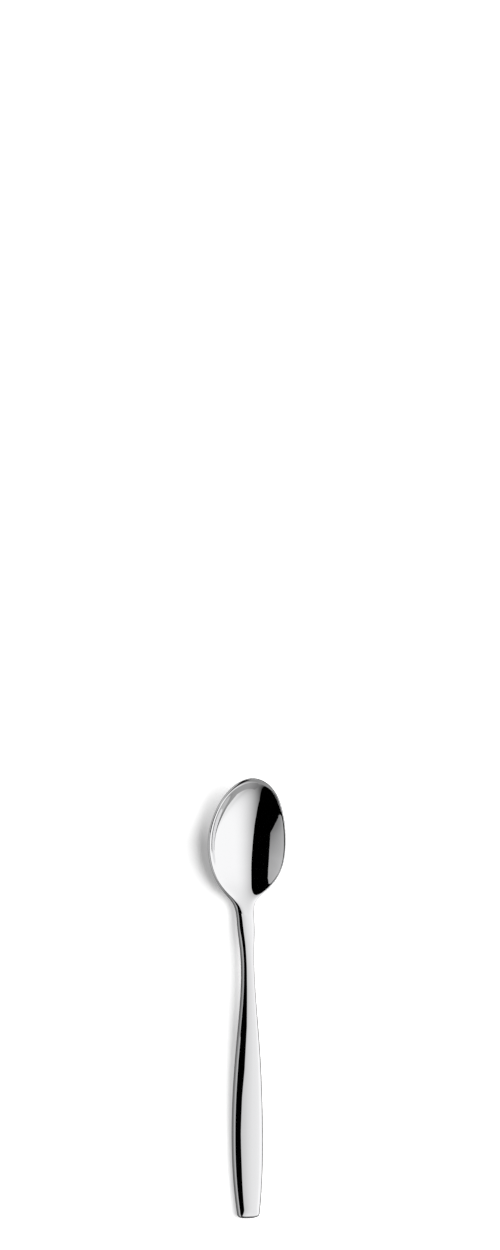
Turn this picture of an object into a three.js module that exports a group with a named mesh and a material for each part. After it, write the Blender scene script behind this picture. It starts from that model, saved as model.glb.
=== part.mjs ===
// Liqueur spoon: bowl, neck and handle in one piece of mirror-polished stainless steel.
// It lies on its back on z = 0, with the bowl's tip towards +Y and the handle's end towards -Y.
// Millimetres, +Z up. The origin is on the resting surface, under the middle of the spoon's length.

import * as THREE from 'three';
import { ParametricGeometry } from 'three/addons/geometries/ParametricGeometry.js';
import { mergeVertices } from 'three/addons/utils/BufferGeometryUtils.js';

// Seen from above
const SPOON_LENGTH = 111;
const BOWL_FRONT = 16.6; // from the bowl's widest place to its tip
const BOWL_REAR = 14.1; // from the bowl's widest place back to its heel
const BOWL_WIDTH = 22.2;
const HEEL_WIDTH = 6.2; // where the throat flares into the bowl
const HEEL_FLARE = 0.7; // how far behind the heel that is
const THROAT_WIDTH = 4.7; // half way from the neck to the heel
const NECK_WIDTH = 3.8; // the narrowest place
const NECK_FROM_HEEL = 12;
const TAPER_WIDTH = 6.35; // half way from the handle's widest place to the neck
const HANDLE_WIDTH = 8.6; // the widest place
const HANDLE_WIDEST_AT = 19; // from the handle's end
const END_WIDTH = 6.2; // across the end's rounded corners
const END_CORNER = 1.4; // how far the corners run up the handle

// Thickness
const END_THICKNESS = 2.8;
const HANDLE_THICKNESS = 3.2; // at the widest place
const NECK_THICKNESS = 2.3;
const HEEL_THICKNESS = 2.2; // where the bar starts to thin into the bowl
const BOWL_WALL = 1.1; // at the bottom of the bowl
const TIP_WALL = 1;
const THIN_BY = 6; // from the heel into the bowl, where the bar has thinned down to the bowl's wall

// Height of the underside above the resting surface, along the middle of the spoon
const END_LIFT = 0.12;
const HANDLE_LIFT = 0.3; // a third of the way up the handle
const ARCH_LIFT = 2.35; // the top of the handle's arch
const THROAT_LIFT = 1.85;
const HEEL_LIFT = 1.2;
const TIP_LIFT = 8.05;
const FRONT_CLIMB = 2.25; // how the bowl's front climbs: 2 is a parabola, more keeps flat longer
const HANDLE_REST_AT = 9; // from the handle's end, where it touches down
const BELLY_FROM_TIP = 19; // where the bowl touches down
const REST_FLAT_DEPTH = 0.1; // the flats that polishing and wear leave at both places

// Radius across the bowl at three places, and how far round the heel the dish fades in
const HEEL_CROSS_RADIUS = 12.2;
const BOWL_CROSS_RADIUS = 16;
const TIP_CROSS_RADIUS = 11.2;
const RIM_STEEPENING = 0.03; // how much more the bowl's sides rise at the rim than those radii give
const DISH_BEHIND_HEEL = 4.5;
const DISH_AHEAD_OF_HEEL = 3.5;

// How square the section's edge is: 2 is an ellipse, larger is squarer
const HANDLE_SQUARENESS = 2.8;
const RIM_SQUARENESS = 6;
const END_SQUARENESS = 3;

// Mesh fineness
const STATION_COUNT = 108;
const RING_COUNT = 48;
const FLAT_SHARE = 0.6; // the share of a quarter ring that lies inside the rounded edge
const SLOPE_STEP = 0.01;

// Places along the spoon, measured from the handle's end
const bowlMiddle = SPOON_LENGTH - BOWL_FRONT;
const heel = bowlMiddle - BOWL_REAR;
const neck = heel - NECK_FROM_HEEL;
const throat = (neck + heel) / 2;
const arch = neck - NECK_FROM_HEEL / 2;
const taper = (HANDLE_WIDEST_AT + neck) / 2;
const belly = SPOON_LENGTH - BELLY_FROM_TIP;

// A smooth curve through points [place, value]: a cubic spline whose curvature runs on unbroken.
// An end slope is set where it is given, and otherwise the curve runs out straight.
function smoothCurve(points, startSlope = null, endSlope = null) {
  const last = points.length - 1;
  const place = points.map((point) => point[0]);
  const value = points.map((point) => point[1]);
  const step = (i) => place[i + 1] - place[i];
  const chord = (i) => (value[i + 1] - value[i]) / step(i);

  // Each row is one equation: before * slope[i - 1] + here * slope[i] + after * slope[i + 1] = sum
  const rows = points.map((_, i) => {
    if (i === 0 && startSlope !== null) return { before: 0, here: 1, after: 0, sum: startSlope };
    if (i === 0) return { before: 0, here: 2, after: 1, sum: 3 * chord(0) };
    if (i === last && endSlope !== null) return { before: 0, here: 1, after: 0, sum: endSlope };
    if (i === last) return { before: 1, here: 2, after: 0, sum: 3 * chord(last - 1) };
    const before = 1 / step(i - 1);
    const after = 1 / step(i);
    const sum = 3 * (chord(i - 1) * before + chord(i) * after);
    return { before, here: 2 * (before + after), after, sum };
  });
  for (let i = 1; i <= last; i += 1) {
    const share = rows[i].before / rows[i - 1].here;
    rows[i].here -= share * rows[i - 1].after;
    rows[i].sum -= share * rows[i - 1].sum;
  }
  const slope = new Array(last + 1);
  slope[last] = rows[last].sum / rows[last].here;
  for (let i = last - 1; i >= 0; i -= 1) {
    slope[i] = (rows[i].sum - rows[i].after * slope[i + 1]) / rows[i].here;
  }

  return (where) => {
    let i = 0;
    while (i < last - 1 && where > place[i + 1]) i += 1;
    const h = step(i);
    const d = where - place[i];
    const bend = (3 * chord(i) - 2 * slope[i] - slope[i + 1]) / h;
    const twist = (slope[i] + slope[i + 1] - 2 * chord(i)) / (h * h);
    return value[i] + d * (slope[i] + d * (bend + d * twist));
  };
}

// Half of the outline, from the middle of the handle's end round to the bowl's tip.
// Each point has its half width, its place along the spoon, and the place on the spoon's middle line
// that its section starts from, so that sections fan out round the two blunt ends.
function halfOutline() {
  const points = [];
  const endFan = END_WIDTH / 2;
  for (const turn of [0, 30, 60, 90]) {
    const angle = THREE.MathUtils.degToRad(turn);
    const half = (END_WIDTH / 2) * Math.sin(angle) ** (2 / END_SQUARENESS);
    const along = END_CORNER * (1 - Math.cos(angle) ** (2 / END_SQUARENESS));
    points.push({ half, along, from: endFan + along / 2 });
  }
  for (const [width, along] of [
    [HANDLE_WIDTH, HANDLE_WIDEST_AT],
    [TAPER_WIDTH, taper],
    [NECK_WIDTH, neck],
    [THROAT_WIDTH, throat],
    [HEEL_WIDTH, heel - HEEL_FLARE],
  ]) {
    points.push({ half: width / 2, along, from: along });
  }
  const tipRadius = (BOWL_WIDTH / 2) ** 2 / BOWL_FRONT;
  const fanReach = BOWL_FRONT - tipRadius;
  for (const turn of [-60, -30, 0, 30, 60, 90]) {
    const angle = THREE.MathUtils.degToRad(turn);
    const half = (BOWL_WIDTH / 2) * Math.cos(angle);
    const along = bowlMiddle + (turn > 0 ? BOWL_FRONT : BOWL_REAR) * Math.sin(angle);
    const from = turn > 0 ? bowlMiddle + fanReach * Math.sin(angle) : along;
    points.push({ half, along, from });
  }
  return points;
}

const outline = halfOutline();
const outlineRun = [0];
for (let i = 1; i < outline.length; i += 1) {
  const across = outline[i].half - outline[i - 1].half;
  const along = outline[i].along - outline[i - 1].along;
  outlineRun.push(outlineRun[i - 1] + Math.hypot(across, along));
}
const outlineLength = outlineRun[outline.length - 1];
const edgeHalfWidth = smoothCurve(outline.map((point, i) => [outlineRun[i], point.half]));
const edgeAlong = smoothCurve(outline.map((point, i) => [outlineRun[i], point.along]), 0, 0);
const sectionFrom = smoothCurve(outline.map((point, i) => [outlineRun[i], point.from]));

// Half of the metal's thickness: the bar of the handle, which thins over the heel into the bowl's wall
const halfBar = smoothCurve([
  [0, END_THICKNESS / 2],
  [HANDLE_WIDEST_AT, HANDLE_THICKNESS / 2],
  [neck, NECK_THICKNESS / 2],
  [heel, HEEL_THICKNESS / 2],
]);
function halfThickness(along) {
  const front = THREE.MathUtils.clamp((along - bowlMiddle) / BOWL_FRONT, 0, 1);
  const halfWall = THREE.MathUtils.lerp(BOWL_WALL, TIP_WALL, front * front) / 2;
  const thinned = THREE.MathUtils.smootherstep(along, throat, heel + THIN_BY);
  return THREE.MathUtils.lerp(halfBar(along), halfWall, thinned);
}

// The underside's height along the spoon's middle line. In front of the belly it climbs ever more steeply.
const frontLift = (share) => [belly + BELLY_FROM_TIP * share, TIP_LIFT * share ** FRONT_CLIMB];
const underside = smoothCurve(
  [
    [0, END_LIFT],
    [HANDLE_REST_AT, 0],
    [(HANDLE_REST_AT + neck) / 3, HANDLE_LIFT],
    [arch, ARCH_LIFT],
    [throat, THROAT_LIFT],
    [heel, HEEL_LIFT],
    [belly, 0],
    frontLift(0.45),
    frontLift(0.75),
    frontLift(1),
  ],
  null,
  (FRONT_CLIMB * TIP_LIFT) / BELLY_FROM_TIP,
);

// How fast the sheet rises across the bowl: height = rise * x * x, none on the handle
const dishRise = smoothCurve([
  [heel, 1 / (2 * HEEL_CROSS_RADIUS)],
  [bowlMiddle, 1 / (2 * BOWL_CROSS_RADIUS)],
  [SPOON_LENGTH, 1 / (2 * TIP_CROSS_RADIUS)],
]);
function crossRise(along) {
  const share = THREE.MathUtils.smootherstep(along, heel - DISH_BEHIND_HEEL, heel + DISH_AHEAD_OF_HEEL);
  return share * dishRise(along);
}

// The sheet half way through the metal
function sheetHeight(x, along) {
  const steepened = 1 + RIM_STEEPENING * (x / (BOWL_WIDTH / 2)) ** 4;
  return underside(along) + halfThickness(along) + crossRise(along) * x * x * steepened;
}

function sheetNormal(x, along) {
  const leanX = sheetHeight(x + SLOPE_STEP, along) - sheetHeight(x - SLOPE_STEP, along);
  const leanY = sheetHeight(x, along + SLOPE_STEP) - sheetHeight(x, along - SLOPE_STEP);
  return new THREE.Vector3(-leanX, -leanY, 2 * SLOPE_STEP).normalize();
}

// The section's edge turns from the handle's round side into the bowl's thin rim
function edgeSquareness(along) {
  const share = THREE.MathUtils.smootherstep(along, throat, heel + BOWL_REAR / 2);
  return THREE.MathUtils.lerp(HANDLE_SQUARENESS, RIM_SQUARENESS, share);
}

// A place on a quarter ring, 0 at the middle line and 1 at the edge, as a share of the half width
// and a share of the half thickness there
function quarterRing(place, squareness) {
  const flatEnd = Math.SQRT1_2 ** (2 / squareness);
  if (place < FLAT_SHARE) {
    const across = (place / FLAT_SHARE) * flatEnd;
    return { across, rise: (1 - across ** squareness) ** (1 / squareness) };
  }
  const angle = (Math.PI / 4) * (1 + (place - FLAT_SHARE) / (1 - FLAT_SHARE));
  const sine = Math.sin(angle);
  return { across: sine ** (2 / squareness), rise: (1 - sine * sine) ** (1 / squareness) };
}

// A point of the spoon's skin. run goes along the outline. round goes once round the section:
// top right, bottom right, bottom left, top left.
function skinPoint(round, run, target) {
  const quarter = Math.min(Math.floor(round * 4), 3);
  const within = round * 4 - quarter;
  const outward = quarter % 2 === 0 ? within : 1 - within;
  const right = quarter < 2 ? 1 : -1;
  const up = quarter === 0 || quarter === 3 ? 1 : -1;

  const where = run * outlineLength;
  const edge = edgeAlong(where);
  const from = sectionFrom(where);
  const { across, rise } = quarterRing(outward, edgeSquareness(edge));
  const x = right * edgeHalfWidth(where) * across;
  const along = from + (edge - from) * across;

  target.set(x, along, sheetHeight(x, along) - REST_FLAT_DEPTH);
  target.addScaledVector(sheetNormal(x, along), up * rise * halfThickness(along));
  target.z = Math.max(target.z, 0);
}

// The whole skin as one closed solid, moved so that the origin is under the middle of its length
function spoonGeometry() {
  const skin = new ParametricGeometry(skinPoint, Math.round(RING_COUNT), Math.round(STATION_COUNT));
  skin.deleteAttribute('normal');
  skin.deleteAttribute('uv');
  const solid = mergeVertices(skin);
  solid.computeBoundingBox();
  const { min, max } = solid.boundingBox;
  return solid.translate(0, -(min.y + max.y) / 2, 0);
}

const polishedSteel = new THREE.MeshStandardMaterial({ color: 0xd9dadb, roughness: 0.06, metalness: 1 });

const spoon = new THREE.Mesh(spoonGeometry(), polishedSteel);
spoon.name = 'spoon';

const liqueurSpoon = new THREE.Group();
liqueurSpoon.add(spoon);

export default liqueurSpoon;
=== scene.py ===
"""Liqueur spoon of mirror-polished steel, lying on its back in a small white studio.

Metres, +Z up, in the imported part's own frame: the bowl's tip is towards +Y, the handle's end towards -Y.
"""

import math

import bpy
import numpy as np
from mathutils import Matrix, Vector


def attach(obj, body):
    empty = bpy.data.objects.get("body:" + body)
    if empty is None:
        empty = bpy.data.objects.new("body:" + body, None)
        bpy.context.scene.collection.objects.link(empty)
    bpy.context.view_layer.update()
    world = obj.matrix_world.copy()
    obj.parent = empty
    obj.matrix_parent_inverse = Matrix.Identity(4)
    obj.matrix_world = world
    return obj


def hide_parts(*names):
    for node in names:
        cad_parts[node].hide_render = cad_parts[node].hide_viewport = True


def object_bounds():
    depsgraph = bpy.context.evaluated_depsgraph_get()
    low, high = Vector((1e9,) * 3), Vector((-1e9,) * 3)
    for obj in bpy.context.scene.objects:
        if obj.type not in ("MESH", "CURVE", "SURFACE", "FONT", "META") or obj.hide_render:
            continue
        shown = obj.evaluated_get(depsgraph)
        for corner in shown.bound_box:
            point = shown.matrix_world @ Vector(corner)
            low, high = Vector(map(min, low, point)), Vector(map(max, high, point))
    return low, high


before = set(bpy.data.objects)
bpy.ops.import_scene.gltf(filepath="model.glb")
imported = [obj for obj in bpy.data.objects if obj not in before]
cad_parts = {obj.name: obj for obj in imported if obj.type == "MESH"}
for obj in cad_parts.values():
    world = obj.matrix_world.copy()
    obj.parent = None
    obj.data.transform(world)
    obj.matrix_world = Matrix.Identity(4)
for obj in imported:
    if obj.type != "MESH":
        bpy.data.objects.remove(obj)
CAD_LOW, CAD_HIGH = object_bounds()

# Seen from above
SPOON_LENGTH = 0.111
BOWL_FRONT = 0.0166  # from the bowl's widest place to its tip
BOWL_REAR = 0.0141  # from the bowl's widest place back to its heel
BOWL_WIDTH = 0.0222
HEEL_WIDTH = 0.0062  # where the throat flares into the bowl
HEEL_FLARE = 0.0007  # how far behind the heel that is
THROAT_WIDTH = 0.0047  # half way from the neck to the heel
NECK_WIDTH = 0.0038  # the narrowest place
NECK_FROM_HEEL = 0.012
TAPER_WIDTH = 0.00635  # half way from the handle's widest place to the neck
HANDLE_WIDTH = 0.0086  # the widest place
HANDLE_WIDEST_AT = 0.019  # from the handle's end
END_WIDTH = 0.0062  # across the end's rounded corners
END_CORNER = 0.0014  # how far the corners run up the handle

# Thickness
END_THICKNESS = 0.0028
HANDLE_THICKNESS = 0.0032  # at the widest place
NECK_THICKNESS = 0.0023
HEEL_THICKNESS = 0.0022  # where the bar starts to thin into the bowl
BOWL_WALL = 0.0011  # at the bottom of the bowl
TIP_WALL = 0.001
THIN_BY = 0.006  # from the heel into the bowl, where the bar has thinned down to the bowl's wall

# Height of the underside above the resting surface, along the middle of the spoon
END_LIFT = 0.00012
HANDLE_LIFT = 0.0003  # a third of the way up the handle
ARCH_LIFT = 0.00235  # the top of the handle's arch
THROAT_LIFT = 0.00185
HEEL_LIFT = 0.0012
TIP_LIFT = 0.00805
FRONT_CLIMB = 2.25  # how the bowl's front climbs: 2 is a parabola, more keeps flat longer
FRONT_POINTS = (0.45, 0.75, 1)  # shares of the way from the belly to the tip at which the climb is set
HANDLE_REST_AT = 0.009  # from the handle's end, where it touches down
BELLY_FROM_TIP = 0.019  # where the bowl touches down
REST_FLAT_DEPTH = 0.0001  # the flats that polishing and wear leave at both places

# Radius across the bowl at three places, and how far round the heel the dish fades in
HEEL_CROSS_RADIUS = 0.0122
BOWL_CROSS_RADIUS = 0.016
TIP_CROSS_RADIUS = 0.0112
RIM_STEEPENING = 0.03  # how much more the bowl's sides rise at the rim than those radii give
DISH_BEHIND_HEEL = 0.0045
DISH_AHEAD_OF_HEEL = 0.0035

# How square the section's edge is: 2 is an ellipse, larger is squarer
HANDLE_SQUARENESS = 2.8
RIM_SQUARENESS = 6
END_SQUARENESS = 3

# Mesh fineness
STATION_COUNT = 520  # along the outline
FLAT_STEPS = 20  # from the middle line to where the edge starts to turn over
EDGE_STEPS = 16  # from there to the edge
SLOPE_STEP = 0.00001  # between the two places that a slope is taken from
WELD_DISTANCE = 1e-7

# Steel
STEEL_COLOUR = "#E9E9EA"
MIRROR_ROUGHNESS = 0.012
STREAK_ROUGHNESS = 0.04
BUFF_STREAK_WIDTH = 0.0006  # real streaks are finer, and these are drawn as coarse as they need to show
BUFF_STREAK_LENGTH = 0.014
BUFF_STREAK_DETAIL = 3
POLISH_WAVE = 0.006  # from crest to crest of the slight waves that polishing leaves
POLISH_WAVE_DEPTH = 0.000006
POLISH_WAVE_DETAIL = 1

# Paper floor with a painted shadow beside the bowl, lamp and world light
WHITE = "#FFFFFF"
FLOOR_COLOUR = "#F2F2F2"
FLOOR_DROP = 0.00005  # the floor lies this far under the spoon, so that the two don't share a plane
FLOOR_REACH = 0.45
FLOOR_GLOW = 0.52
PAINTED_SHADOW_GLOW = 0.26  # painted shadow: the paper's glow beside the bowl is cut to this, to deepen the spoon's shadow there
# Where the painted shadow is darkest, beside the bowl's left side
PAINTED_SHADOW_AT = (-0.013, 0.0325, 0)
PAINTED_SHADOW_CORE = 0.006  # the painted shadow holds its depth this far from there
PAINTED_SHADOW_REACH = 0.016  # and from here on the paper has its full glow
WORLD_SEEN = 1  # by the camera and in mirrors
WORLD_FILL = 0.1  # the light that surfaces gather from it
LAMP_AT = (0.62, 0.03, 1.05)
LAMP_SIZE = 1.8
LAMP_POWER = 28

# Light tent, the dome that most of the mirror shows
TENT_RADIUS = 1.9
TENT_TURNS = 144  # faces round the dome
TENT_RINGS = 60  # faces from its foot to its top
TENT_BRIGHT = 1.15
TENT_FULL_AT = 0.72  # how far to the right the tent has its full glow: 0 is straight up, 1 is level
TENT_FALL = 1.45  # how fast the glow falls from there towards straight up
END_FALL = 0.148  # how fast the full glow moves away to the right towards the handle's end
END_FALL_FROM = 0.2  # the lean towards the handle's end at which that starts
END_FALL_MOST = 0.5
LEAN_FLOOR = 0.02  # the least height, as a share of the radius, that the lean is worked out with
TIP_FALL = 0.42  # how fast the glow falls towards the tip's side
TIP_FALL_FROM = 0.18
LEFT_GLOW = 0.55  # all over the left half

# Table as the sides of the handle and the rim show it, its grey tone with painted shade close beside the
# spoon: place across the spoon, glow
TABLE_TONE_AND_PAINTED_SHADE = (
    (-1.9, 0.5), (-0.01, 0.33), (0, 0.03), (0.03, 0.03), (0.1, 0.6), (0.2, 0.6), (0.35, 0.35), (1.9, 0.3)
)

# Flag overhead, the black in the bowl and along the handle: place along the spoon, left edge, right edge
FLAG_HEIGHT = 0.5
FLAG_EDGE = (
    (-1.5, -0.25, 0.345),
    (-0.8, -0.35, 0.117),
    (-0.4, -0.66, 0.056),
    (-0.15, -0.66, 0.043),
    (-0.04, -0.59, 0.048),
    (0.01, -0.62, 0.052),
    (0.08, -1.4, 0.061),
    (0.2, -1.4, 0.078),
    (0.28, -0.66, 0.09),
    (0.9, -0.4, 0.09),
)

# Skirting round the tent's foot, the thin ring inside the bowl's left rim: bearing in degrees from the tip
# towards the right, height in degrees, glow
SKIRTING_RADIUS = 1.8
SKIRTING_TURNS = 180  # faces round it
SKIRTING = (
    (0, 2.3, 1),
    (86, 2.3, 1),
    (88, 3.2, 0.1),
    (105, 2.8, 0.15),
    (118, 2.4, 0.36),
    (130, 5, 0.4),
    (145, 12.5, 0.38),
    (170, 25, 0.1),
    (190, 2.3, 0.3),
    (360, 2.3, 0.3),
)

# Tip card, the dark mark on the tip's rim: place across the spoon, glow
TIP_CARD_FROM = 0.048
TIP_CARD_TO = 0.085
TIP_CARD_HEIGHT = 0.0105
TIP_CARD_GLOW = ((-0.015, 0.5), (-0.0065, 0.45), (-0.0055, 0), (-0.0006, 0), (0.0004, 0.3), (0.025, 0.45))

# Handle panel, the soft grey on the handle's top: place along the spoon, edge across it, share of the glow
PANEL_HEIGHT = 0.012
PANEL_BORDER = 0.006  # black to the left of the edge
PANEL_STEP = 0.0001  # half the step from black to bright
PANEL_EDGE = (
    (-0.075, -0.001, 1),
    (-0.044, -0.0009, 1),
    (-0.035, -0.0014, 1),
    (-0.026, -0.0007, 1),
    (-0.019, 0.0007, 1),
    (-0.0077, 0.0012, 1),
    (0.005, -0.0004, 1.02),
    (0.015, -0.0001, 1.07),
    (0.024, -0.0014, 1.1),
)
PANEL_START = 0.68  # glow at the edge
PANEL_GLOW = ((0.0023, 0.78), (0.0055, 0.94), (0.0145, 1.06))  # place across the spoon, glow

# Grey card, the patch in the bowl's black: place along the spoon, foot, top, glow at the foot and further up
GREY_CARD_AT = 0.0055
GREY_CARD_FADE = 0.0045  # how far up from its foot the card reaches its upper glow
GREY_CARD_EDGE = (
    (0.0302, 0.0065, 0.009, 0.44, 0.56),
    (0.0312, 0.0057, 0.014, 0.45, 0.57),
    (0.0335, 0.0061, 0.0212, 0.47, 0.58),
    (0.0362, 0.0068, 0.0174, 0.43, 0.59),
    (0.0384, 0.0074, 0.0143, 0.33, 0.5),
    (0.0401, 0.0077, 0.0119, 0.23, 0.3),
    (0.0407, 0.0093, 0.0109, 0.22, 0.24),
)

# Camera
CAMERA_TILT = math.radians(28)  # from straight above towards the spoon's left side
CAMERA_TURN = 0.018  # the spoon's lean in the picture, in radians
CAMERA_DISTANCE = 1.2
AIM_RIGHT = 0.0021  # from the spoon's middle to the middle of the picture
AIM_UP = 0.0952
PICTURE_HEIGHT = 0.32  # at the spoon
SENSOR_HEIGHT = 36  # millimetres, as cameras give it

# Places along the spoon, measured from the handle's end
bowl_middle = SPOON_LENGTH - BOWL_FRONT
heel = bowl_middle - BOWL_REAR
neck = heel - NECK_FROM_HEEL
throat = (neck + heel) / 2
arch = neck - NECK_FROM_HEEL / 2
taper = (HANDLE_WIDEST_AT + neck) / 2
belly = SPOON_LENGTH - BELLY_FROM_TIP


def linear(hex_colour):
    """An sRGB hex colour as linear RGBA."""
    shares = [int(hex_colour[i:i + 2], 16) / 255 for i in (1, 3, 5)]
    return [s / 12.92 if s <= 0.04045 else ((s + 0.055) / 1.055) ** 2.4 for s in shares] + [1.0]


def add_node(tree, kind, inputs=None, **settings):
    """Add a node, set its settings, and set or link its inputs by name or number."""
    node = tree.nodes.new(kind)
    for name, value in settings.items():
        setattr(node, name, value)
    for socket, value in (inputs or {}).items():
        if isinstance(value, bpy.types.NodeSocket):
            tree.links.new(value, node.inputs[socket])
        else:
            node.inputs[socket].default_value = value
    return node


def grid_faces(rows, columns):
    """Four-cornered faces over a grid of points that are numbered row by row."""
    number = np.arange(rows * columns).reshape(rows, columns)
    corners = (number[:-1, :-1], number[:-1, 1:], number[1:, 1:], number[1:, :-1])
    return np.stack(corners, axis=-1).reshape(-1, 4).tolist()


# The spoon's shape

def smooth_curve(points, start_slope=None, end_slope=None):
    """A cubic spline through points (place, value) whose curvature runs on unbroken.

    An end slope is set where it is given, and otherwise the curve runs out straight.
    """
    place, value = np.array(points).T
    last = len(points) - 1
    step = np.diff(place)
    chord = np.diff(value) / step
    rows = np.zeros((last + 1, last + 1))
    sums = np.zeros(last + 1)
    for i in range(1, last):
        rows[i, i - 1] = 1 / step[i - 1]
        rows[i, i] = 2 / step[i - 1] + 2 / step[i]
        rows[i, i + 1] = 1 / step[i]
        sums[i] = 3 * (chord[i - 1] / step[i - 1] + chord[i] / step[i])
    rows[0, :2] = (2, 1) if start_slope is None else (1, 0)
    sums[0] = 3 * chord[0] if start_slope is None else start_slope
    rows[last, -2:] = (1, 2) if end_slope is None else (0, 1)
    sums[last] = 3 * chord[-1] if end_slope is None else end_slope
    slope = np.linalg.solve(rows, sums)

    def curve(where):
        i = np.clip(np.searchsorted(place, where) - 1, 0, last - 1)
        d = where - place[i]
        bend = (3 * chord[i] - 2 * slope[i] - slope[i + 1]) / step[i]
        twist = (slope[i] + slope[i + 1] - 2 * chord[i]) / step[i] ** 2
        return value[i] + d * (slope[i] + d * (bend + d * twist))

    return curve


def smoother_step(where, start, end):
    share = np.clip((where - start) / (end - start), 0, 1)
    return share ** 3 * (share * (6 * share - 15) + 10)


def between(start, end, share):
    return start + (end - start) * share


def half_outline():
    """Half of the outline, from the middle of the handle's end round to the bowl's tip.

    Each row has a half width, a place along the spoon, and the place on the spoon's middle line that the
    section starts from, so that sections fan out round the two blunt ends.
    """
    points = []
    for turn in (0, 30, 60, 90):
        angle = math.radians(turn)
        half = END_WIDTH / 2 * math.sin(angle) ** (2 / END_SQUARENESS)
        along = END_CORNER * (1 - max(math.cos(angle), 0) ** (2 / END_SQUARENESS))
        points.append((half, along, END_WIDTH / 2 + along / 2))
    for width, along in (
        (HANDLE_WIDTH, HANDLE_WIDEST_AT),
        (TAPER_WIDTH, taper),
        (NECK_WIDTH, neck),
        (THROAT_WIDTH, throat),
        (HEEL_WIDTH, heel - HEEL_FLARE),
    ):
        points.append((width / 2, along, along))
    tip_radius = (BOWL_WIDTH / 2) ** 2 / BOWL_FRONT
    fan_reach = BOWL_FRONT - tip_radius
    for turn in (-60, -30, 0, 30, 60, 90):
        angle = math.radians(turn)
        half = BOWL_WIDTH / 2 * math.cos(angle)
        along = bowl_middle + (BOWL_FRONT if turn > 0 else BOWL_REAR) * math.sin(angle)
        start = bowl_middle + fan_reach * math.sin(angle) if turn > 0 else along
        points.append((half, along, start))
    return np.array(points)


half_bar = smooth_curve([
    (0, END_THICKNESS / 2),
    (HANDLE_WIDEST_AT, HANDLE_THICKNESS / 2),
    (neck, NECK_THICKNESS / 2),
    (heel, HEEL_THICKNESS / 2),
])


def half_thickness(along):
    """The bar of the handle, which thins over the heel into the bowl's wall."""
    front = np.clip((along - bowl_middle) / BOWL_FRONT, 0, 1)
    half_wall = between(BOWL_WALL, TIP_WALL, front * front) / 2
    return between(half_bar(along), half_wall, smoother_step(along, throat, heel + THIN_BY))


def front_lift(share):
    """A point of the underside on the bowl's front, this share of the way from the belly to the tip."""
    return belly + BELLY_FROM_TIP * share, TIP_LIFT * share ** FRONT_CLIMB


underside = smooth_curve(
    [
        (0, END_LIFT),
        (HANDLE_REST_AT, 0),
        ((HANDLE_REST_AT + neck) / 3, HANDLE_LIFT),
        (arch, ARCH_LIFT),
        (throat, THROAT_LIFT),
        (heel, HEEL_LIFT),
        (belly, 0),
        *[front_lift(share) for share in FRONT_POINTS],
    ],
    end_slope=FRONT_CLIMB * TIP_LIFT / BELLY_FROM_TIP,
)

dish_rise = smooth_curve([
    (heel, 1 / (2 * HEEL_CROSS_RADIUS)),
    (bowl_middle, 1 / (2 * BOWL_CROSS_RADIUS)),
    (SPOON_LENGTH, 1 / (2 * TIP_CROSS_RADIUS)),
])


def sheet_height(x, along):
    """The sheet half way through the metal: flat across the handle, dished across the bowl."""
    dished = smoother_step(along, heel - DISH_BEHIND_HEEL, heel + DISH_AHEAD_OF_HEEL)
    steepened = 1 + RIM_STEEPENING * (x / (BOWL_WIDTH / 2)) ** 4
    return underside(along) + half_thickness(along) + dished * dish_rise(along) * x * x * steepened


def sheet_normal(x, along):
    lean_x = sheet_height(x + SLOPE_STEP, along) - sheet_height(x - SLOPE_STEP, along)
    lean_y = sheet_height(x, along + SLOPE_STEP) - sheet_height(x, along - SLOPE_STEP)
    normal = np.stack([-lean_x, -lean_y, np.full_like(x, 2 * SLOPE_STEP)], axis=-1)
    return normal / np.linalg.norm(normal, axis=-1, keepdims=True)


def edge_squareness(along):
    """The handle's round side turns into the bowl's thin rim."""
    share = smoother_step(along, throat, heel + BOWL_REAR / 2)
    return between(HANDLE_SQUARENESS, RIM_SQUARENESS, share)


def half_section(squareness):
    """Shares of the half width and the half thickness from a section's middle out to its edge."""
    flat_end = math.sqrt(0.5) ** (2 / squareness)
    flat = np.linspace(0, 1, FLAT_STEPS + 1)[:-1] * flat_end
    sine = np.sin(np.linspace(math.pi / 4, math.pi / 2, EDGE_STEPS + 1))
    across = np.concatenate([flat, sine ** (2 / squareness)], axis=-1)
    flat_rise = (1 - flat ** squareness) ** (1 / squareness)
    edge_rise = np.clip(1 - sine * sine, 0, 1) ** (1 / squareness)
    return across, np.concatenate([flat_rise, edge_rise], axis=-1)


def spoon_blank():
    """The spoon's sheet with no thickness yet, as the blank that is stamped and dished.

    The attribute "through" goes from each point of the sheet to the upper skin.
    """
    outline = half_outline()
    run = np.concatenate([[0], np.cumsum(np.hypot(*np.diff(outline[:, :2], axis=0).T))])
    where = np.linspace(0, run[-1], STATION_COUNT + 1)[:, None]
    edge_half = smooth_curve(np.stack([run, outline[:, 0]], axis=-1))(where)
    edge_along = smooth_curve(np.stack([run, outline[:, 1]], axis=-1), 0, 0)(where)
    start = smooth_curve(np.stack([run, outline[:, 2]], axis=-1))(where)

    across, rise = half_section(edge_squareness(edge_along))
    across = np.concatenate([-across[:, :0:-1], across], axis=1)
    rise = np.concatenate([rise[:, :0:-1], rise], axis=1)
    x = edge_half * across
    along = start + (edge_along - start) * np.abs(across)
    points = np.stack([x, along, sheet_height(x, along)], axis=-1)
    through = sheet_normal(x, along) * (rise * half_thickness(along))[..., None]

    mesh = bpy.data.meshes.new("spoon_blank")
    mesh.from_pydata(points.reshape(-1, 3).tolist(), [], grid_faces(*x.shape))
    layer = mesh.attributes.new("through", "FLOAT_VECTOR", "POINT")
    layer.data.foreach_set("vector", through.astype(np.float32).ravel())
    return mesh


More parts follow.
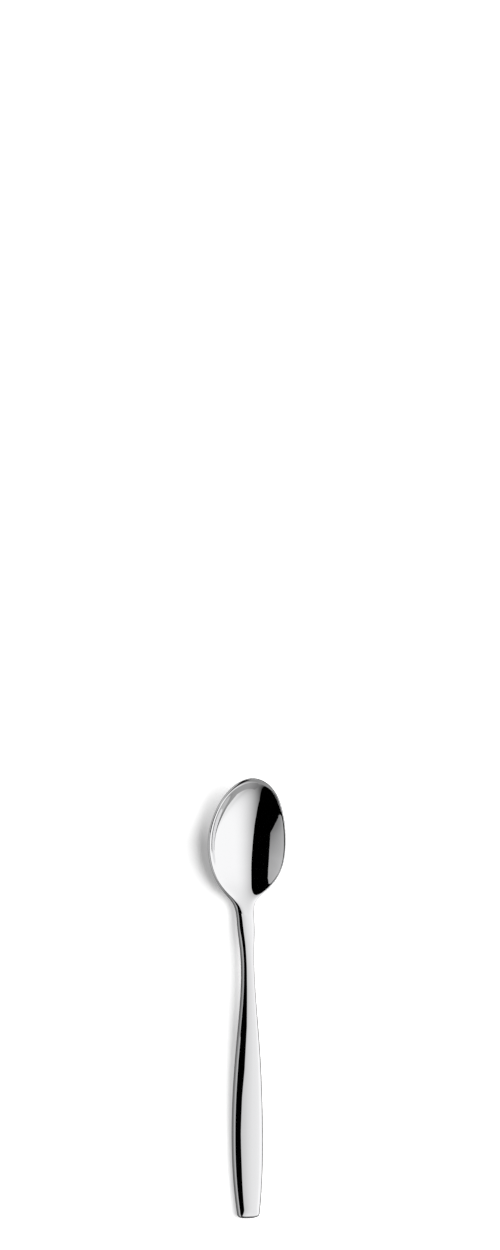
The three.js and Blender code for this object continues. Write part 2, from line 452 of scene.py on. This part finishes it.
def thicken_tree():
    """Geometry Nodes: the blank's upper and lower skin, welded at the rim, with the two rest flats."""
    tree = bpy.data.node_groups.new("thicken_blank", "GeometryNodeTree")
    face = tree.interface
    face.new_socket("Geometry", in_out="INPUT", socket_type="NodeSocketGeometry")
    face.new_socket("Rest flat depth", in_out="INPUT", socket_type="NodeSocketFloat")
    face.new_socket("Weld distance", in_out="INPUT", socket_type="NodeSocketFloat")
    face.new_socket("Finish", in_out="INPUT", socket_type="NodeSocketMaterial")
    face.new_socket("Geometry", in_out="OUTPUT", socket_type="NodeSocketGeometry")

    given = add_node(tree, "NodeGroupInput").outputs
    through = add_node(
        tree, "GeometryNodeInputNamedAttribute", {"Name": "through"}, data_type="FLOAT_VECTOR"
    ).outputs["Attribute"]
    below = add_node(tree, "ShaderNodeVectorMath", {0: through, "Scale": -1}, operation="SCALE").outputs[0]
    upper = add_node(tree, "GeometryNodeSetPosition", {"Geometry": given["Geometry"], "Offset": through})
    lower = add_node(tree, "GeometryNodeSetPosition", {"Geometry": given["Geometry"], "Offset": below})
    turned = add_node(tree, "GeometryNodeFlipFaces", {"Mesh": lower.outputs[0]})
    both = add_node(tree, "GeometryNodeJoinGeometry", {0: upper.outputs[0]})
    tree.links.new(turned.outputs[0], both.inputs[0])
    welded = add_node(
        tree, "GeometryNodeMergeByDistance", {0: both.outputs[0], "Distance": given["Weld distance"]}
    )

    before = add_node(tree, "GeometryNodeInputPosition").outputs[0]
    spot = add_node(tree, "ShaderNodeSeparateXYZ", {0: before})
    sunk = add_node(
        tree, "ShaderNodeMath", {0: spot.outputs["Z"], 1: given["Rest flat depth"]}, operation="SUBTRACT"
    )
    level = add_node(tree, "ShaderNodeMath", {0: sunk.outputs[0], 1: 0.0}, operation="MAXIMUM")
    place = add_node(
        tree, "ShaderNodeCombineXYZ", {"X": spot.outputs["X"], "Y": spot.outputs["Y"], "Z": level.outputs[0]}
    )
    rested = add_node(
        tree, "GeometryNodeSetPosition", {"Geometry": welded.outputs[0], "Position": place.outputs[0]}
    )
    smooth = add_node(tree, "GeometryNodeSetShadeSmooth", {0: rested.outputs[0]})
    real = add_node(tree, "GeometryNodeRealizeInstances", {0: smooth.outputs[0]})
    finished = add_node(
        tree, "GeometryNodeSetMaterial", {"Geometry": real.outputs[0], "Material": given["Finish"]}
    )
    add_node(tree, "NodeGroupOutput", {0: finished.outputs[0]})
    return tree


def fit_to_cad_box(mesh):
    """Centre the finer mesh on the part, and take off the microns by which it is larger."""
    points = np.empty(len(mesh.vertices) * 3)
    mesh.vertices.foreach_get("co", points)
    points = points.reshape(-1, 3)
    low, high = points.min(axis=0), points.max(axis=0)
    cad_low, cad_high = np.array(CAD_LOW), np.array(CAD_HIGH)
    share = np.minimum((cad_high - cad_low) / (high - low), 1)
    points = (points - (low + high) / 2) * share + (cad_low + cad_high) / 2
    points[:, 2] += cad_low[2] - points[:, 2].min()
    mesh.vertices.foreach_set("co", points.ravel())
    mesh.update()


def make_spoon(finish):
    """Thicken the blank, and keep what comes of it as a plain mesh."""
    blank = bpy.data.objects.new("spoon_blank", spoon_blank())
    bpy.context.scene.collection.objects.link(blank)
    modifier = blank.modifiers.new("thicken", "NODES")
    modifier.node_group = thicken_tree()
    sizes = {"Rest flat depth": REST_FLAT_DEPTH, "Weld distance": WELD_DISTANCE, "Finish": finish}
    for item in modifier.node_group.interface.items_tree:
        if item.in_out == "INPUT" and item.name in sizes:
            modifier[item.identifier] = sizes[item.name]
    solid = blank.evaluated_get(bpy.context.evaluated_depsgraph_get())
    mesh = bpy.data.meshes.new_from_object(solid)
    mesh.name = "spoon_polished"
    blank.modifiers.remove(modifier)
    bpy.data.objects.remove(blank)
    mesh.attributes.remove(mesh.attributes["through"])
    fit_to_cad_box(mesh)
    spoon = bpy.data.objects.new("spoon_polished", mesh)
    bpy.context.scene.collection.objects.link(spoon)
    return spoon


# Finish

def stainless_steel_mirror_polished():
    """Stainless steel, buffed to a mirror.

    The eye sees a clear, faintly cool reflection. Fine streaks of the buffing wheel run along the spoon and
    soften it a little, and the edges of reflections waver slightly over the waves that polishing leaves.
    """
    material = bpy.data.materials.new("stainless_steel_mirror_polished")
    material.use_nodes = True
    tree = material.node_tree
    steel = tree.nodes["Principled BSDF"]
    steel.inputs["Base Color"].default_value = linear(STEEL_COLOUR)
    steel.inputs["Metallic"].default_value = 1.0

    place = add_node(tree, "ShaderNodeTexCoord").outputs["Object"]
    across, along = 1 / BUFF_STREAK_WIDTH, 1 / BUFF_STREAK_LENGTH
    drawn_out = add_node(tree, "ShaderNodeMapping", {"Vector": place, "Scale": (across, along, across)})
    streak_sizes = {"Vector": drawn_out.outputs[0], "Scale": 1.0, "Detail": BUFF_STREAK_DETAIL}
    streaks = add_node(tree, "ShaderNodeTexNoise", streak_sizes)
    softness = {"Value": streaks.outputs[0], "To Min": MIRROR_ROUGHNESS, "To Max": STREAK_ROUGHNESS}
    rough = add_node(tree, "ShaderNodeMapRange", softness)
    tree.links.new(rough.outputs[0], steel.inputs["Roughness"])

    wave_sizes = {"Vector": place, "Scale": 1 / POLISH_WAVE, "Detail": POLISH_WAVE_DETAIL}
    waves = add_node(tree, "ShaderNodeTexNoise", wave_sizes)
    bump = add_node(tree, "ShaderNodeBump", {"Height": waves.outputs[0], "Distance": POLISH_WAVE_DEPTH})
    tree.links.new(bump.outputs[0], steel.inputs["Normal"])
    return material


# Studio

def board_glow(name, clear_back=False):
    """Boards shine by their own points' glow. One with a clear back shines to its front only."""
    material = bpy.data.materials.new(name)
    material.use_nodes = True
    tree = material.node_tree
    tree.nodes.clear()
    level = add_node(tree, "ShaderNodeAttribute", attribute_name="glow")
    shine = add_node(tree, "ShaderNodeEmission", {"Strength": level.outputs["Fac"]})
    if clear_back:
        back = add_node(tree, "ShaderNodeNewGeometry").outputs["Backfacing"]
        clear = add_node(tree, "ShaderNodeBsdfTransparent")
        shine = add_node(tree, "ShaderNodeMixShader", {0: back, 1: shine.outputs[0], 2: clear.outputs[0]})
    add_node(tree, "ShaderNodeOutputMaterial", {"Surface": shine.outputs[0]})
    return material


def board(name, rows, glow, material):
    """A board through rows of points that only mirrors show: it lights nothing and casts no shadow."""
    rows = np.array(rows, dtype=float)
    mesh = bpy.data.meshes.new(name)
    mesh.from_pydata(rows.reshape(-1, 3).tolist(), [], grid_faces(*rows.shape[:2]))
    layer = mesh.attributes.new("glow", "FLOAT", "POINT")
    layer.data.foreach_set("value", np.broadcast_to(glow, rows.shape[:2]).astype(np.float32).ravel())
    mesh.materials.append(material)
    thing = bpy.data.objects.new(name, mesh)
    bpy.context.scene.collection.objects.link(thing)
    thing.visible_camera = False
    thing.visible_diffuse = False
    thing.visible_shadow = False


def make_light_tent(material):
    """A dome round the spoon: bright on the right, dimmer towards the top and both ends, dim on the left."""
    azimuth = np.radians(np.linspace(0, 360, TENT_TURNS + 1))
    elevation = np.radians(np.linspace(0, 90, TENT_RINGS + 1))[:, None]
    x = np.cos(elevation) * np.sin(azimuth)
    y = np.cos(elevation) * np.cos(azimuth)
    z = np.sin(elevation) * np.ones_like(azimuth)
    lean = -y / np.maximum(z, LEAN_FLOOR)
    full_at = TENT_FULL_AT + np.clip(END_FALL * (lean - END_FALL_FROM), 0, END_FALL_MOST)
    right = TENT_BRIGHT - TENT_FALL * np.maximum(full_at - x, 0) ** 2
    right *= 1 - TIP_FALL * np.maximum(y - TIP_FALL_FROM, 0)
    glow = np.where(x > 0, np.maximum(right, 0), LEFT_GLOW)
    board("light_tent", np.stack([x, y, z], axis=-1) * TENT_RADIUS, glow, material)


def make_black_flag(material):
    """The flag overhead, and its end that hangs down to the table beyond the handle's end."""
    board("black_flag", [[(x, y, FLAG_HEIGHT) for x in sides] for y, *sides in FLAG_EDGE], 0, material)
    end, *sides = FLAG_EDGE[0]
    board("black_flag_end", [[(x, end, z) for x in sides] for z in (0, FLAG_HEIGHT)], 0, material)


def striped_sheet(name, stripes, ends, height, material):
    """A level sheet whose glow changes across the spoon."""
    rows = [[(x, y, height) for y in ends] for x, glow in stripes]
    board(name, rows, [[glow] for x, glow in stripes], material)


def make_skirting(material):
    """A low wall round the tent's foot, higher towards the handle's end."""
    bearing, height, glow = np.array(SKIRTING).T
    turns = np.linspace(0, 360, SKIRTING_TURNS + 1)
    x = SKIRTING_RADIUS * np.sin(np.radians(turns))
    y = SKIRTING_RADIUS * np.cos(np.radians(turns))
    top = SKIRTING_RADIUS * np.tan(np.radians(np.interp(turns, bearing, height)))
    rows = np.stack([(x, y, np.zeros_like(top)), (x, y, top)]).transpose(2, 0, 1)
    board("skirting", rows, np.interp(turns, bearing, glow)[:, None], material)


def make_handle_panel(material):
    """A panel over the handle: black up to an edge that follows the handle, then brighter to the right."""
    places, levels = zip(*PANEL_GLOW)
    rows, glow = [], []
    for y, edge, share in PANEL_EDGE:
        columns = (edge - PANEL_BORDER, edge - PANEL_STEP, edge + PANEL_STEP, *places)
        rows.append([(x, y, PANEL_HEIGHT) for x in columns])
        glow.append((0, 0, *[level * share for level in (PANEL_START, *levels)]))
    board("handle_panel", rows, glow, material)


def make_grey_card(material):
    """An upright card at the bowl's right wall, which alone sees its front."""
    rows, glow = [], []
    for y, foot, top, foot_glow, upper_glow in GREY_CARD_EDGE:
        heights = (top, min(foot + GREY_CARD_FADE, top), foot)
        rows.append([(GREY_CARD_AT, y, z) for z in heights])
        glow.append((upper_glow, upper_glow, foot_glow))
    board("grey_card", rows, glow, material)


def make_boards():
    material = board_glow("studio_board")
    make_light_tent(material)
    make_black_flag(material)
    # The table's glow is its grey, with painted shade close beside the spoon where its shadow would fall
    striped_sheet("table", TABLE_TONE_AND_PAINTED_SHADE, (-TENT_RADIUS, TENT_RADIUS), -FLOOR_DROP / 2, material)
    make_skirting(material)
    striped_sheet("tip_card", TIP_CARD_GLOW, (TIP_CARD_FROM, TIP_CARD_TO), TIP_CARD_HEIGHT, material)
    make_handle_panel(material)
    make_grey_card(board_glow("studio_board_clear_back", clear_back=True))


def background_level(tree, elsewhere, seen):
    """One level where the camera and mirrors look, and another for the light that a surface gathers."""
    path = add_node(tree, "ShaderNodeLightPath").outputs
    both = add_node(
        tree, "ShaderNodeMath", {0: path["Is Camera Ray"], 1: path["Is Glossy Ray"]}, operation="MAXIMUM"
    ).outputs[0]
    every = add_node(tree, "ShaderNodeMath", {0: both, 1: path["Is Transmission Ray"]}, operation="MAXIMUM")
    levels = {"Value": every.outputs[0], "To Min": elsewhere, "To Max": seen}
    return add_node(tree, "ShaderNodeMapRange", levels).outputs[0]


def make_floor():
    """Matt white paper. Its glow keeps the background white and leaves the spoon's shadow, and is cut beside
    the bowl as a painted shadow that deepens it there.
    """
    material = bpy.data.materials.new("matt_white_paper")
    material.use_nodes = True
    tree = material.node_tree
    paper = tree.nodes["Principled BSDF"]
    paper.inputs["Base Color"].default_value = linear(FLOOR_COLOUR)
    paper.inputs["Roughness"].default_value = 1.0
    paper.inputs["Specular IOR Level"].default_value = 0.0
    paper.inputs["Emission Color"].default_value = linear(WHITE)
    spot = add_node(tree, "ShaderNodeTexCoord").outputs["Object"]
    # Painted shadow: the paper's glow is weaker round a place beside the bowl
    beside = add_node(tree, "ShaderNodeVectorMath", {0: spot, 1: PAINTED_SHADOW_AT}, operation="DISTANCE")
    painted_shadow_levels = {
        "Value": beside.outputs["Value"],
        "From Min": PAINTED_SHADOW_CORE,
        "From Max": PAINTED_SHADOW_REACH,
        "To Min": PAINTED_SHADOW_GLOW,
        "To Max": FLOOR_GLOW,
    }
    glow = add_node(tree, "ShaderNodeMapRange", painted_shadow_levels, interpolation_type="SMOOTHSTEP").outputs[0]
    tree.links.new(background_level(tree, 0.0, glow), paper.inputs["Emission Strength"])

    edge = (-FLOOR_REACH, FLOOR_REACH)
    mesh = bpy.data.meshes.new("floor")
    mesh.from_pydata([(x, y, -FLOOR_DROP) for y in edge for x in edge], [], [(0, 1, 3, 2)])
    mesh.materials.append(material)
    floor = bpy.data.objects.new("floor", mesh)
    bpy.context.scene.collection.objects.link(floor)


def make_light():
    """A soft lamp high on the right for the floor's shadow, which no mirror shows, and a white world."""
    lamp = bpy.data.lights.new("side_lamp", "AREA")
    lamp.shape = "SQUARE"
    lamp.size = LAMP_SIZE
    lamp.energy = LAMP_POWER
    thing = bpy.data.objects.new("side_lamp", lamp)
    thing.location = LAMP_AT
    thing.rotation_euler = (-Vector(LAMP_AT)).to_track_quat("-Z", "Y").to_euler()
    thing.visible_glossy = False
    bpy.context.scene.collection.objects.link(thing)

    world = bpy.data.worlds.new("white_studio")
    world.use_nodes = True
    bpy.context.scene.world = world
    tree = world.node_tree
    tree.nodes.clear()
    level = background_level(tree, WORLD_FILL, WORLD_SEEN)
    sky = add_node(tree, "ShaderNodeBackground", {"Color": linear(WHITE), "Strength": level})
    add_node(tree, "ShaderNodeOutputWorld", {"Surface": sky.outputs[0]})


def make_camera():
    """From above and a little from the left, with a long lens.

    The spoon lies in the lower part of the picture.
    """
    tilt, turn = CAMERA_TILT, CAMERA_TURN
    back = Vector((-math.sin(tilt), 0, math.cos(tilt)))
    level = Vector((math.cos(tilt), 0, math.sin(tilt)))
    ahead = Vector((0, 1, 0))
    right = level * math.cos(turn) - ahead * math.sin(turn)
    up = level * math.sin(turn) + ahead * math.cos(turn)
    spot = back * CAMERA_DISTANCE
    aim = right * AIM_RIGHT + up * AIM_UP
    view = (aim - spot).normalized()
    right = (right - view * right.dot(view)).normalized()
    up = right.cross(view)
    camera = bpy.data.cameras.new("camera")
    camera.sensor_fit = "VERTICAL"
    camera.sensor_height = SENSOR_HEIGHT
    camera.lens = SENSOR_HEIGHT * (aim - spot).length / PICTURE_HEIGHT
    camera_object = bpy.data.objects.new("camera", camera)
    camera_object.matrix_world = Matrix.Translation(spot) @ Matrix((right, up, -view)).transposed().to_4x4()
    bpy.context.scene.collection.objects.link(camera_object)
    bpy.context.scene.camera = camera_object


bpy.context.scene.view_settings.view_transform = "Standard"
make_camera()
make_floor()
make_light()
make_boards()
spoon = make_spoon(stainless_steel_mirror_polished())
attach(spoon, "root")
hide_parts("spoon")
